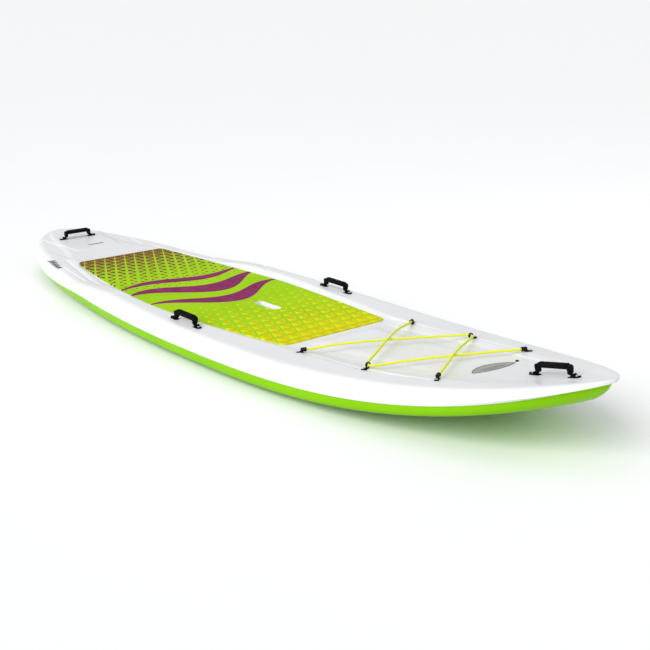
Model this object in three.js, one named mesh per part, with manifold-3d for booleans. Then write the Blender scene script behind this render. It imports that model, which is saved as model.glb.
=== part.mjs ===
// Stand up paddleboard, 3200 x 838 mm: a moulded deck skin and hull skin over a foam core, with a traction
// pad, four carry handles, a laced bungee, a vent plug and a fin box.
// Board frame, in millimetres: +X to the bow, +Y to port, +Z up. Heights in this file are measured from the
// level of the deck at the ends of the pad, and the group at the end lifts the board to stand on Z = 0.
import * as THREE from 'three';
import { mergeVertices } from 'three/addons/utils/BufferGeometryUtils.js';
import Module from 'manifold-3d';

const wasm = await Module();
wasm.setup();

// ---- Driving dimensions -------------------------------------------------------------------------------
const HALF_LENGTH = 1600;
const HALF_WIDTH = 419;
const WIDEST_X = -11;
const BOTTOM_Z = -120; // the flat middle of the hull
const SEAM_Z = -61; // the joint between the deck skin and the hull skin, amidships
const SKIN = 3.5;
const GAP = 0.3; // between pieces that touch
const GLUE_LINE = 1.2; // between the skins and the core
const LIP = 4; // how far the deck skin stands out over the hull skin
// The foam core is glued up from blocks, numbered from the stern, with joints at these places.
const CORE_JOINTS = [-1050, -600, -150, 150, 600, 1080];

const PAD_AFT_X = -1035;
const PAD_FRONT_X = 440;
const PAD_THICKNESS = 5;
const PAD_CORNER = 30;

const GRIP_CUP = { x: 0, y: 32, length: 130, width: 36, depth: 48, wall: 3, corner: 14 };

const HANDLE = {
  halfSpan: 64, top: 35, corner: 13, band: 5, width: 18, hingeZ: 5.2, barrelR: 3.6, barrelLength: 10,
  neckWidth: 9.5, neckTop: 13, gripLength: 100, gripWidth: 27, gripHeight: 15,
};
const FOOT = { start: 64.5, length: 26, width: 21, tip: 4, heel: 10.4, screwX: 79.5, barrelFit: 0.35 };
const SCREW = { headR: 5, headHeight: 2.8, shankR: 2.5, length: 26 };
const BLOCK = { length: 184, width: 34, height: 24, drop: 8 };

const RIDGE_SHARE = 0.65; // the foredeck ridge, as a share of the half width
const RIDGE_RISE = 9;
const CORD_R = 4;
const TAB = { length: 25, width: 14, height: 3, screwX: 17 };
const BARREL = { outerR: 7.5, boreR: 4.6, length: 19, axisZ: 9.5 };
const EYE = { x: 4, outerR: 9.8, boreR: 6.8, length: 8 };
// Each fitting's place to port, and the direction its cord leaves in, in degrees from the bow.
const FITTINGS = [
  { name: 'aft_socket', x: 557, y: 253, lead: -58.5 },
  { name: 'middle_eye', x: 857, y: 238, lead: -90 },
  { name: 'fore_socket', x: 1122, y: 198, lead: -121 },
];
// The lacing of the first cord, from the aft starboard socket round the port eye to the fore starboard
// socket, as [x, y, height]. The second cord mirrors it, with heights of its own in the last column.
const LACING = [
  [557.4, -251.5, 14.5, 14.5], [563.8, -241.1, 14.9, 14.9], [569, -232.5, 15.3, 15.4], [575, -222.5, 16.4, 16.6],
  [608, -167, 25, 27], [640, -113, 29.5, 35.5], [675, -54.5, 32, 41], [708, 1, 33.6, 42.7],
  [741, 56.5, 35, 41.7], [775, 113.7, 35.6, 39.4], [824, 196.1, 35.4, 36], [835, 214.6, 35.2, 35.4],
  [841.9, 226.2, 35.1, 35.2], [848, 232, 35.1, 35.1], [856.5, 234.5, 35.2, 35.2], [865, 232, 35.4, 35.3],
  [871.1, 226.2, 35.9, 35.6], [878, 214.6, 37, 36.2], [889, 195.9, 39.5, 38], [930, 126, 49, 45],
  [965, 66.5, 57.4, 49.9], [1003, 2, 62.2, 53.3], [1036, -54, 62.6, 55.8], [1060, -95, 61.8, 57.6],
  [1103.4, -169, 60.2, 60], [1108.5, -177.5, 60.8, 60.8], [1113.6, -186, 61.5, 61.5], [1119.6, -196, 62.3, 62.3],
];
const BADGE = { x: 1146, y: 12, length: 172, width: 62, height: 2.4 };
const VENT = { x: 1165, y: 107, plugR: 5.5, boltR: 3.5, flangeR: 9, bodyR: 7, depth: 24, flangeTop: 1 };
const TAIL_MARK = { x: -1282, y: 16, length: 78, width: 9, height: 1.6 };
const FIN_BOX = { x: -1240, length: 262, width: 30, depth: 32, slotLength: 236, slotWidth: 9.6, roof: 4 };

const STATIONS = [
  -1600, -1592, -1560, -1490, -1380, -1220, -1035, -860, -700, -550, -400, -100, 160, 330, 440, 560, 720,
  900, 1060, 1220, 1370, 1490, 1565, 1594, 1600,
];

// ---- Small helpers ------------------------------------------------------------------------------------
const clamp01 = (t) => Math.min(1, Math.max(0, t));
const smooth = (x, from, to) => {
  const t = clamp01((x - from) / (to - from));
  return t * t * (3 - 2 * t);
};
const mix = (a, b, t) => a + (b - a) * t;
const radians = THREE.MathUtils.degToRad;

// ---- The board's lines --------------------------------------------------------------------------------
// Half width of the outline, blunt at both ends and fuller at the stern.
function halfWidth(x) {
  const bow = x > WIDEST_X;
  const t = Math.abs(x - WIDEST_X) / (bow ? HALF_LENGTH - WIDEST_X : HALF_LENGTH + WIDEST_X);
  const [shape, bluntness] = bow ? [2.66, 0.64] : [1.59, 0.38];
  return HALF_WIDTH * Math.pow(Math.max(0, 1 - Math.pow(t, shape)), bluntness);
}

const deckLine = (x) => (x > -300
  ? -12 + 150 * Math.pow((x + 300) / 1900, 3.4)
  : -12 + 46 * Math.pow((-300 - x) / 1300, 2));

const seamLine = (x) => (x > 0
  ? SEAM_Z + 183 * Math.pow(x / HALF_LENGTH, 3.57)
  : SEAM_Z + 52 * Math.pow(-x / HALF_LENGTH, 2.83));

// The hull is flat for 300 mm each side of the middle, and rises to both ends.
function bottomLine(x) {
  const run = Math.max(0, Math.abs(x) - 300) / (HALF_LENGTH - 300);
  return BOTTOM_Z + (x > 0 ? 178 * Math.pow(run, 2.53) : 69 * Math.pow(run, 2.06));
}

// How far the side rails stand above the deck line: a raised rail beside the pad, low at the stern.
const railRise = (x) => -5 + 27 * smooth(x, -850, -450) - 15 * clamp01((x + 450) / 1050)
  - 2 * clamp01((x - 600) / 1000);

// Half width of the traction pad.
const padHalfWidth = (x) => (x < -250
  ? 300 - 87 * Math.pow((-250 - x) / 785, 1.6)
  : 300 - 65 * Math.pow((x + 250) / 690, 1.5));

// Side distances and heights of the deck's fore-and-aft lines, from the middle out to the rail's crown.
function deckPoints(x) {
  const w = halfWidth(x);
  const fore = smooth(x, PAD_FRONT_X, 640);
  const well = 8 * smooth(x, PAD_FRONT_X, 560) * (1 - smooth(x, 1000, 1140));
  const padShare = mix(0.657, 0.5, smooth(x, PAD_AFT_X, -1300));
  const pad = x < PAD_AFT_X ? padShare * w : padHalfWidth(Math.min(x, PAD_FRONT_X));
  const aftShare = Math.min(1, w / 324);
  const foot = x > PAD_FRONT_X ? w * mix(0.59, 0.5, fore) : pad + 6 * aftShare;
  const ridge = x > PAD_FRONT_X ? w * RIDGE_SHARE : pad + 32 * aftShare;
  const rise = railRise(x) * Math.min(1, w / 150);
  const ridgeRise = mix(rise, RIDGE_RISE, fore * (1 - smooth(x, 1150, 1400)));
  return [
    [0, -well],
    [x > PAD_FRONT_X ? w * mix(0.4, 0.36, fore) : pad * 0.65, -well],
    [foot, fore * (ridgeRise - well) / 2],
    [ridge, ridgeRise],
    [w - Math.min(42, 0.3 * w), rise],
  ].map(([y, z]) => [y, deckLine(x) + z]);
}

// Height of the deck's surface at a point, between the fore-and-aft lines.
function deckHeight(x, y) {
  const points = deckPoints(x);
  const side = Math.abs(y);
  for (let i = 1; i < points.length; i += 1) {
    const [y0, z0] = points[i - 1];
    const [y1, z1] = points[i];
    if (side <= y1) return mix(z0, z1, (side - y0) / (y1 - y0));
  }
  return points[points.length - 1][1];
}

// ---- Solids -------------------------------------------------------------------------------------------
function toSolid(geometry, matrix = new THREE.Matrix4()) {
  const bare = geometry.index ? geometry.toNonIndexed() : geometry.clone();
  bare.deleteAttribute('normal');
  bare.deleteAttribute('uv');
  bare.applyMatrix4(matrix);
  const merged = mergeVertices(bare, 1e-3);
  return new wasm.Manifold(new wasm.Mesh({
    numProp: 3,
    vertProperties: merged.attributes.position.array,
    triVerts: new Uint32Array(merged.index.array),
  }));
}

function toGeometry(solid) {
  const mesh = solid.getMesh();
  const geometry = new THREE.BufferGeometry();
  geometry.setAttribute('position', new THREE.BufferAttribute(mesh.vertProperties, 3));
  geometry.setIndex(new THREE.BufferAttribute(mesh.triVerts, 1));
  return geometry;
}

// A solid through a row of closed loops with the same number of points each. Flat end loops are capped.
function loft(loops, capped) {
  const count = loops[0].length;
  const faces = [];
  for (let i = 0; i + 1 < loops.length; i += 1) {
    for (let j = 0; j < count; j += 1) {
      const k = (j + 1) % count;
      const [a, b, c, d] = [loops[i][j], loops[i][k], loops[i + 1][k], loops[i + 1][j]];
      faces.push([a, b, c], [a, c, d]);
    }
  }
  if (capped) {
    const last = loops[loops.length - 1];
    for (let j = 1; j + 1 < count; j += 1) {
      faces.push([loops[0][0], loops[0][j + 1], loops[0][j]], [last[0], last[j], last[j + 1]]);
    }
  }
  const same = (p, q) => p.distanceTo(q) < 2e-3;
  const solidFaces = faces.filter(([a, b, c]) => !same(a, b) && !same(b, c) && !same(a, c));
  return new THREE.BufferGeometry().setFromPoints(solidFaces.flat());
}

const box = (x, y, z, length, width, height) => toSolid(
  new THREE.BoxGeometry(length, width, height).translate(x, y, z),
);

// An upright cylinder between two heights.
const post = (x, y, z0, z1, radius, sides = 8) => toSolid(
  new THREE.CylinderGeometry(radius, radius, z1 - z0, sides).rotateX(Math.PI / 2)
    .translate(x, y, (z0 + z1) / 2),
);

// A cylinder along X between two places.
const rod = (x0, x1, y, z, radius, sides = 10) => toSolid(
  new THREE.CylinderGeometry(radius, radius, x1 - x0, sides).rotateZ(Math.PI / 2)
    .translate((x0 + x1) / 2, y, z),
);

function roundedRectangle(length, width, radius) {
  const [a, b] = [length / 2 - radius, width / 2 - radius];
  const shape = new THREE.Shape();
  shape.absarc(a, b, radius, 0, Math.PI / 2);
  shape.absarc(-a, b, radius, Math.PI / 2, Math.PI);
  shape.absarc(-a, -b, radius, Math.PI, 1.5 * Math.PI);
  shape.absarc(a, -b, radius, 1.5 * Math.PI, 2 * Math.PI);
  return shape;
}

// A flat outline in XY, made solid between two heights.
function slab(shape, z0, z1, curveSegments = 2) {
  const geometry = new THREE.ExtrudeGeometry(shape, { depth: z1 - z0, bevelEnabled: false, curveSegments });
  return toSolid(geometry.translate(0, 0, z0));
}

// A side view in XZ, made solid across a width in Y.
function sideProfile(shape, width, curveSegments = 2) {
  const geometry = new THREE.ExtrudeGeometry(shape, { depth: width, bevelEnabled: false, curveSegments });
  return toSolid(geometry.translate(0, 0, -width / 2).rotateX(Math.PI / 2));
}

const place = (solid, matrix) => toSolid(toGeometry(solid), matrix);

const paint = (color, roughness, metalness = 0) => new THREE.MeshStandardMaterial({
  color, roughness, metalness,
});
const WHITE = paint('#f4f5f6', 0.35);
const GREEN = paint('#93d600', 0.35);
const FOAM = paint('#e8e4d8', 0.95);
const LIME_PAD = paint('#a0cb25', 0.8);
const BLACK = paint('#141416', 0.55);
const NYLON = paint('#c9c6bd', 0.6);
const STEEL = paint('#c9ccd0', 0.25, 1);
const CORD = paint('#dbe63a', 0.7);
const CHROME = paint('#a9abb0', 0.3, 0.8);
const MARK = paint('#6b6f75', 0.5);
const SEAL = paint('#26282b', 0.8);

const board = new THREE.Group();
board.position.z = -BOTTOM_Z;

function piece(name, solid, material, parent = board) {
  const mesh = new THREE.Mesh(toGeometry(solid), material);
  mesh.name = name;
  parent.add(mesh);
  return mesh;
}

// A frame on the deck for a piece with two ends, the given reach from its middle, that stand on the deck.
// It is tilted to the deck's slope fore and aft, and turned about its own upright.
function deckFrame(x, y, turn, reach) {
  const alongX = reach * Math.cos(turn);
  const alongY = reach * Math.sin(turn);
  const step = Math.max(20, alongX);
  const slope = (deckHeight(x + step, y) - deckHeight(x - step, y)) / (2 * step);
  const ends = [-1, 1].map((end) => deckHeight(x + end * alongX, y + end * alongY));
  const frame = new THREE.Group();
  frame.position.set(x, y, (ends[0] + ends[1]) / 2);
  frame.rotation.set(0, -Math.atan(slope), turn, 'YZX');
  frame.updateMatrix();
  return frame;
}

// ---- Skins and core -----------------------------------------------------------------------------------
// Rings of the section scale in towards the middle of the board at its ends, which rakes the bow and stern.
const SEAM_RAKE = 0.0125;
const bottomRake = (x) => (x > 0 ? 0.0425 : 0.02);
const RAIL_ANGLES = [62, 32, 0].map(radians);
const BILGE_ANGLES = [14, 32, 54].map(radians);
const BOTTOM_FLAT_SHARE = 0.6;
const END_CLEARANCE = 2.5; // the skins are this much thicker at the tips

// How much shorter a surface inside the board is than the board.
const shrink = (inset) => (inset > 0 ? 1 - (END_CLEARANCE + inset) / HALF_LENGTH : 1);

// Half of the section's outside, or of a surface the given depth inside it: the deck down to the seam.
function deckSide(x, inset) {
  const w = halfWidth(x);
  const share = w > 0 ? Math.max(0.05, (w - inset) / w) : 0;
  const top = deckPoints(x);
  const [crownY, crownZ] = top[top.length - 1];
  const seam = seamLine(x);
  const widestZ = seam + 0.3 * (crownZ - seam);
  const rail = RAIL_ANGLES.map((angle) => [
    crownY + (w - crownY) * Math.pow(Math.cos(angle), 0.8),
    widestZ + (crownZ - widestZ) * Math.pow(Math.sin(angle), 0.8) - inset * Math.sin(angle),
  ]);
  return [...top.map(([y, z]) => [y, z - inset]), ...rail]
    .map(([y, z]) => new THREE.Vector3(x * shrink(inset), y * share, z));
}

// Half of the hull's outside, or of a surface inside it, from the seam down to the bottom's flat.
function hullSide(x, inset) {
  const half = Math.max(0, halfWidth(x) - LIP - inset);
  const seam = seamLine(x);
  const depth = seam - bottomLine(x);
  const points = [[half, 0]];
  for (const angle of BILGE_ANGLES) {
    points.push([half * Math.pow(Math.cos(angle), 0.4), Math.pow(Math.sin(angle), 0.4)]);
  }
  points.push([half * BOTTOM_FLAT_SHARE, 1], [0, 1]);
  return points.map(([y, down]) => new THREE.Vector3(
    x * shrink(inset) * (1 - mix(SEAM_RAKE, bottomRake(x), down)),
    y,
    seam - down * depth + inset * down,
  ));
}

const mirror = (point) => new THREE.Vector3(point.x, -point.y, point.z);

// A closed loop from half a section that starts and ends on the middle plane.
const closeLoop = (half) => [...half, ...half.slice(1, -1).reverse().map(mirror)];

function envelope(makeHalf) {
  return toSolid(loft(STATIONS.map((x) => closeLoop(makeHalf(x)).reverse()), false));
}

function deckBlock() {
  return envelope((x) => {
    const side = deckSide(x, 0);
    const w = Math.max(0, halfWidth(x) - 1.5);
    const seam = seamLine(x);
    const seamX = x * (1 - SEAM_RAKE);
    return [...side, new THREE.Vector3(seamX, w, seam), new THREE.Vector3(seamX, 0, seam)];
  });
}

function hullBlock() {
  return envelope((x) => {
    const side = hullSide(x, 0);
    const lowered = side.map((p, i) => (i === 0 ? p.clone().setZ(p.z - GAP) : p));
    return [new THREE.Vector3(side[0].x, 0, side[0].z - GAP), ...lowered];
  });
}

const cavity = (inset) => envelope((x) => [...deckSide(x, inset), ...hullSide(x, inset)]);


// ---- Handles ------------------------------------------------------------------------------------------
const HANDLES = [
  ['bow', 1393, 0, 0],
  ['port', 23, 355, 0],
  ['starboard', 23, -355, 0],
  ['tail', -1427, 0, Math.PI / 2],
].map(([name, x, y, turn]) => ({ name, frame: deckFrame(x, y, turn, FOOT.screwX) }));

// The band of the handle: a flat arch with round shoulders, narrow at its necks, on a pivot at each end.
function handleBand() {
  const { halfSpan, top, corner, band, width, hingeZ, barrelR, barrelLength, neckWidth, neckTop } = HANDLE;
  const arch = new THREE.Shape();
  arch.moveTo(halfSpan, hingeZ);
  arch.absarc(halfSpan - corner, top - corner, corner, 0, Math.PI / 2);
  arch.absarc(corner - halfSpan, top - corner, corner, Math.PI / 2, Math.PI);
  arch.lineTo(-halfSpan, hingeZ);
  arch.lineTo(band - halfSpan, hingeZ);
  arch.absarc(corner - halfSpan, top - corner, corner - band, Math.PI, Math.PI / 2, true);
  arch.absarc(halfSpan - corner, top - corner, corner - band, Math.PI / 2, 0, true);
  arch.lineTo(halfSpan - band, hingeZ);
  const front = new THREE.Shape([
    [-neckWidth / 2, 0], [neckWidth / 2, 0], [neckWidth / 2, neckTop - 4], [width / 2, neckTop],
    [width / 2, top + 1], [-width / 2, top + 1], [-width / 2, neckTop], [-neckWidth / 2, neckTop - 4],
  ].map(([y, z]) => new THREE.Vector2(y, z)));
  const frontView = new THREE.ExtrudeGeometry(front, { depth: 2 * halfSpan + 2, bevelEnabled: false });
  frontView.translate(0, 0, -halfSpan - 1).rotateX(Math.PI / 2).rotateZ(Math.PI / 2);
  let solid = sideProfile(arch, width + 2).intersect(toSolid(frontView));
  for (const side of [-1, 1]) {
    const inner = side * (halfSpan - band);
    const outer = inner + side * barrelLength;
    solid = solid.add(rod(Math.min(inner, outer), Math.max(inner, outer), 0, hingeZ, barrelR));
  }
  return solid;
}

// The grip: a rounded bar with a flat slot through it for the band.
function handleGrip() {
  const { gripLength, gripWidth, gripHeight, band, width, top } = HANDLE;
  const outline = roundedRectangle(gripHeight, gripWidth, 5);
  outline.holes.push(roundedRectangle(band + 2 * GAP, width + 2 * GAP, 0.5));
  const bar = new THREE.ExtrudeGeometry(outline, { depth: gripLength, bevelEnabled: false, curveSegments: 3 });
  bar.translate(0, 0, -gripLength / 2).rotateY(Math.PI / 2).translate(0, 0, top - band / 2);
  return toSolid(bar);
}

// A foot: a block with a blind bore for the pivot, running out to a thin tongue with a screw hole.
function handleFoot() {
  const { start, length, width, tip, heel, screwX, barrelFit } = FOOT;
  const boreEnd = HANDLE.halfSpan - HANDLE.band + HANDLE.barrelLength + 0.8;
  const side = new THREE.Shape([
    [start, 0], [start + length, 0], [start + length, tip - 1], [start + length - 1, tip],
    [start + 9.5, tip], [start + 8, heel - 1], [start + 7, heel], [start + 2, heel], [start, heel - 2],
  ].map(([x, z]) => new THREE.Vector2(x, -z)));
  const block = new THREE.ExtrudeGeometry(side, { depth: width, bevelEnabled: false });
  block.translate(0, 0, -width / 2).rotateX(-Math.PI / 2);
  return toSolid(block)
    .subtract(rod(start - 1, boreEnd, 0, HANDLE.hingeZ, HANDLE.barrelR + barrelFit))
    .subtract(post(screwX, 0, -1, tip + 1, SCREW.shankR + GAP));
}

// A screw with a low domed head that stands on the given height.
function screw(x, z, { headR, headHeight, shankR, length }) {
  const profile = [
    [0, z - length], [shankR, z - length], [shankR, z], [headR, z], [headR, z + headHeight * 0.4],
    [headR * 0.7, z + headHeight], [0, z + headHeight],
  ].map(([r, height]) => new THREE.Vector2(r, height));
  return toSolid(new THREE.LatheGeometry(profile, 8).rotateX(Math.PI / 2).translate(x, 0, 0));
}

const mirrorX = new THREE.Matrix4().makeRotationZ(Math.PI);
const band = handleBand();
const grip = handleGrip();
const foot = handleFoot();
const footScrew = screw(FOOT.screwX, FOOT.tip + GAP, SCREW);
const blockTop = -BLOCK.drop;
const footScrewHole = post(FOOT.screwX, 0, -SCREW.length, FOOT.heel, SCREW.shankR + GAP);
const block = box(0, 0, blockTop - BLOCK.height / 2, BLOCK.length, BLOCK.width, BLOCK.height)
  .subtract(footScrewHole).subtract(place(footScrewHole, mirrorX));

const deckCuts = [];
const coreCuts = [];

for (const { name, frame } of HANDLES) {
  board.add(frame);
  piece(`${name}_handle_band`, band, BLACK, frame);
  piece(`${name}_handle_grip`, grip, BLACK, frame);
  piece(`${name}_handle_block`, block, NYLON, frame);
  const seat = box(FOOT.start + FOOT.length / 2, 0, 10 - GAP, FOOT.length + 2 * GAP,
    FOOT.width + 2 * GAP, 20);
  for (const [end, turn] of [['fore', new THREE.Matrix4()], ['aft', mirrorX]]) {
    piece(`${name}_handle_foot_${end}`, place(foot, turn), BLACK, frame);
    piece(`${name}_handle_screw_${end}`, place(footScrew, turn), STEEL, frame);
    const matrix = frame.matrix.clone().multiply(turn);
    deckCuts.push(place(seat, matrix), place(footScrewHole, matrix));
  }
  const pocket = box(0, 0, blockTop - BLOCK.height / 2 + 10, BLOCK.length + 2 * GAP,
    BLOCK.width + 2 * GAP, BLOCK.height + 20 + 2 * GAP);
  coreCuts.push(place(pocket, frame.matrix));
}

// ---- Bungee fittings and cords ------------------------------------------------------------------------
const FITTING_SCREW = { headR: 4, headHeight: 2.2, shankR: 1.9, length: 15 };

// The tab under a fitting, with its screw hole. The cord's side is towards +X.
function fittingTab() {
  const tab = slab(roundedRectangle(TAB.length, TAB.width, 5), 0, TAB.height);
  return tab.translate([-TAB.screwX / 2 - 1, 0, 0]);
}

const fittingHole = post(-TAB.screwX, 0, -FITTING_SCREW.length, 12, FITTING_SCREW.shankR + GAP);

// An end fitting: a blind barrel that grips the cord's end.
function cordSocket() {
  const { outerR, boreR, length, axisZ } = BARREL;
  return fittingTab()
    .add(rod(-5, length - 5, 0, axisZ, outerR))
    .add(box(-4, 0, axisZ / 2 + 1, 8, outerR * 1.2, axisZ - 2))
    .subtract(rod(-1, length, 0, axisZ, boreR))
    .subtract(fittingHole);
}

// A turning fitting: an open eye across the tab, which the cord runs through.
function cordEye() {
  const { axisZ } = BARREL;
  const across = new THREE.Matrix4().makeRotationZ(Math.PI / 2);
  const eye = rod(-EYE.length / 2, EYE.length / 2, 0, 0, EYE.outerR, 12);
  const hole = rod(-EYE.length, EYE.length, 0, 0, EYE.boreR, 12);
  const up = [EYE.x, 0, axisZ + 1];
  return fittingTab()
    .add(place(eye, across).translate(up))
    .subtract(place(hole, across).translate(up))
    .subtract(fittingHole);
}

const fittingScrew = screw(-TAB.screwX, TAB.height + GAP, FITTING_SCREW);
const tabSeat = slab(roundedRectangle(TAB.length + 2 * GAP, TAB.width + 2 * GAP, 5 + GAP), -GAP, 14)
  .translate([-TAB.screwX / 2 - 1, 0, 0]);

for (const [sideName, side] of [['port', 1], ['starboard', -1]]) {
  FITTINGS.forEach(({ name, x, y, lead }) => {
    const frame = deckFrame(x, side * y, side * radians(lead), 0);
    board.add(frame);
    piece(`${sideName}_cord_${name}`, lead === -90 ? cordEye() : cordSocket(), BLACK, frame);
    piece(`${sideName}_${name}_screw`, fittingScrew, STEEL, frame);
    deckCuts.push(place(tabSeat, frame.matrix), place(fittingHole, frame.matrix));
    coreCuts.push(place(fittingHole, frame.matrix));
  });
}

function cord(name, route) {
  const path = new THREE.CatmullRomCurve3(route.map((p) => new THREE.Vector3(...p)), false, 'centripetal');
  const section = new THREE.Shape();
  section.absarc(0, 0, CORD_R, 0, 2 * Math.PI);
  const tube = new THREE.ExtrudeGeometry(section, { extrudePath: path, steps: 90, curveSegments: 4 });
  piece(name, toSolid(tube), CORD);
}
cord('bungee_cord_a', LACING.map(([x, y, z]) => [x, y, z]));
cord('bungee_cord_b', LACING.map(([x, y, , z]) => [x, -y, z]));

// ---- Badge, tail mark and vent ------------------------------------------------------------------------
function inlay(name, outline, height, frame, material) {
  board.add(frame);
  const sunk = height * 0.4;
  piece(name, slab(outline(0), -sunk, height - sunk, 6), material, frame);
  deckCuts.push(place(slab(outline(GAP), -sunk - GAP, 10, 6), frame.matrix));
}
const oval = (grow) => {
  const shape = new THREE.Shape();
  shape.absellipse(0, 0, BADGE.length / 2 + grow, BADGE.width / 2 + grow, 0, 2 * Math.PI);
  return shape;
};
const BADGE_TURN = Math.PI / 2 - radians(8);
inlay('bow_badge', oval, BADGE.height, deckFrame(BADGE.x, BADGE.y, BADGE_TURN, 0), CHROME);
const strip = (grow) => roundedRectangle(TAIL_MARK.length + 2 * grow, TAIL_MARK.width + 2 * grow, 3 + grow);
inlay('tail_mark', strip, TAIL_MARK.height, deckFrame(TAIL_MARK.x, TAIL_MARK.y, Math.PI / 2, 0), MARK);

// A solid of revolution about a frame's upright, from a closed profile of radii and heights.
const turned = (profile, sides = 12) => toSolid(new THREE.LatheGeometry(
  profile.map(([r, z]) => new THREE.Vector2(r, z)),
  sides,
).rotateX(Math.PI / 2));

const ventFrame = deckFrame(VENT.x, VENT.y, 0, 0);
board.add(ventFrame);
const { plugR, boltR, flangeR, bodyR, depth, flangeTop } = VENT;
const boltHole = boltR + GAP;
piece('vent_seat', turned([
  [boltHole, -depth], [bodyR, -depth], [bodyR, flangeTop - 2], [flangeR, flangeTop - 2],
  [flangeR, flangeTop], [boltHole, flangeTop], [boltHole, -depth],
]), WHITE, ventFrame);
const sealZ = flangeTop + GAP;
piece('vent_seal', turned([
  [boltHole, sealZ], [plugR, sealZ], [plugR, sealZ + 1], [boltHole, sealZ + 1], [boltHole, sealZ],
]), SEAL, ventFrame);
const headZ = sealZ + 1 + GAP;
piece('vent_plug', turned([
  [0, 6 - depth], [boltR, 6 - depth], [boltR, headZ], [plugR, headZ], [plugR, headZ + 2], [plugR - 1, headZ + 3],
  [0, headZ + 3],
]).subtract(box(0, 0, headZ + 3, 2 * plugR, 1.6, 3)), BLACK, ventFrame);
deckCuts.push(
  place(post(0, 0, flangeTop - 2 - GAP, 20, flangeR + GAP, 12), ventFrame.matrix),
  place(post(0, 0, -depth, 20, bodyR + GAP, 12), ventFrame.matrix),
);
coreCuts.push(place(post(0, 0, -depth - GAP, 20, bodyR + GAP, 12), ventFrame.matrix));

// ---- Centre grip cup and traction pad -----------------------------------------------------------------
const cupOutline = (grow) => roundedRectangle(
  GRIP_CUP.length + 2 * grow,
  GRIP_CUP.width + 2 * grow,
  GRIP_CUP.corner + grow,
);
// The cup's rim lies just under the pad, at the lowest level of the deck around it.
const rimZ = deckHeight(GRIP_CUP.x - GRIP_CUP.length, 0) - 0.2;
const atCup = [GRIP_CUP.x, GRIP_CUP.y, 0];
const { wall } = GRIP_CUP;
const cupFloor = rimZ - GRIP_CUP.depth;
piece('centre_grip_cup', slab(cupOutline(wall), cupFloor, rimZ)
  .add(slab(cupOutline(wall + 6), rimZ - 1.8, rimZ))
  .subtract(slab(cupOutline(0), cupFloor + wall, rimZ + 1))
  .translate(atCup), WHITE);
deckCuts.push(
  slab(cupOutline(wall + GAP), rimZ - 20, rimZ + 20).translate(atCup),
  slab(cupOutline(wall + 6 + GAP), rimZ - 1.8 - GAP, rimZ + 20).translate(atCup),
);
coreCuts.push(slab(cupOutline(wall + GAP), cupFloor - GAP, rimZ + 20).translate(atCup));

function padOutline() {
  const shape = new THREE.Shape();
  const edge = [];
  const count = 12;
  for (let i = 0; i <= count; i += 1) {
    const x = mix(PAD_AFT_X + PAD_CORNER, PAD_FRONT_X - PAD_CORNER, i / count);
    edge.push([x, padHalfWidth(x)]);
  }
  const [aftHalf, frontHalf] = [padHalfWidth(PAD_AFT_X), padHalfWidth(PAD_FRONT_X)];
  shape.moveTo(PAD_AFT_X, PAD_CORNER - aftHalf);
  shape.quadraticCurveTo(PAD_AFT_X, -aftHalf, edge[0][0], -edge[0][1]);
  edge.slice(1).forEach(([x, y]) => shape.lineTo(x, -y));
  shape.quadraticCurveTo(PAD_FRONT_X, -frontHalf, PAD_FRONT_X, PAD_CORNER - frontHalf);
  shape.lineTo(PAD_FRONT_X, frontHalf - PAD_CORNER);
  shape.quadraticCurveTo(PAD_FRONT_X, frontHalf, edge[count][0], edge[count][1]);
  edge.slice(0, -1).reverse().forEach(([x, y]) => shape.lineTo(x, y));
  shape.quadraticCurveTo(PAD_AFT_X, aftHalf, PAD_AFT_X, aftHalf - PAD_CORNER);
  return shape;
}

// The pad follows the deck line between the same stations as the deck does, so it lies close on it.
const padLayer = loft(STATIONS.filter((x) => x >= PAD_AFT_X && x <= PAD_FRONT_X).map((x) => {
  const [low, high] = [deckLine(x) + GAP, deckLine(x) + GAP + PAD_THICKNESS];
  return [[-HALF_WIDTH, low], [HALF_WIDTH, low], [HALF_WIDTH, high], [-HALF_WIDTH, high]]
    .map(([y, z]) => new THREE.Vector3(x, y, z));
}), true);
piece('traction_pad', slab(padOutline(), -60, 60)
  .intersect(toSolid(padLayer))
  .subtract(slab(cupOutline(1), -60, 60).translate(atCup)), LIME_PAD);

// ---- Fin box ------------------------------------------------------------------------------------------
// The box stands in the hull on the line of the bottom, with its slot open downwards.
const finFrame = new THREE.Group();
const bottomAt = (x) => bottomLine(x / (1 - bottomRake(x)));
const [finAftZ, finForeZ] = [-0.5, 0.5].map((end) => bottomAt(FIN_BOX.x + end * FIN_BOX.length));
finFrame.position.set(FIN_BOX.x, 0, (finAftZ + finForeZ) / 2);
finFrame.rotation.y = Math.atan((finAftZ - finForeZ) / FIN_BOX.length);
finFrame.updateMatrix();
board.add(finFrame);
const finBlock = (grow, low, high) => slab(
  roundedRectangle(FIN_BOX.length + 2 * grow, FIN_BOX.width + 2 * grow, 8 + grow),
  low,
  high,
);
piece('fin_box', finBlock(0, 0, FIN_BOX.depth).subtract(
  slab(roundedRectangle(FIN_BOX.slotLength, FIN_BOX.slotWidth, 3), -1, FIN_BOX.depth - FIN_BOX.roof),
), BLACK, finFrame);
const finCut = place(finBlock(GAP, -20, FIN_BOX.depth + GAP), finFrame.matrix);

// ---- The cut skins and core ---------------------------------------------------------------------------
const cut = (solid, cutters) => cutters.reduce((rest, cutter) => rest.subtract(cutter), solid);

piece('deck_skin', cut(deckBlock().subtract(cavity(SKIN)), deckCuts), WHITE);
piece('hull_skin', hullBlock().subtract(cavity(SKIN)).subtract(finCut), GREEN);

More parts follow.
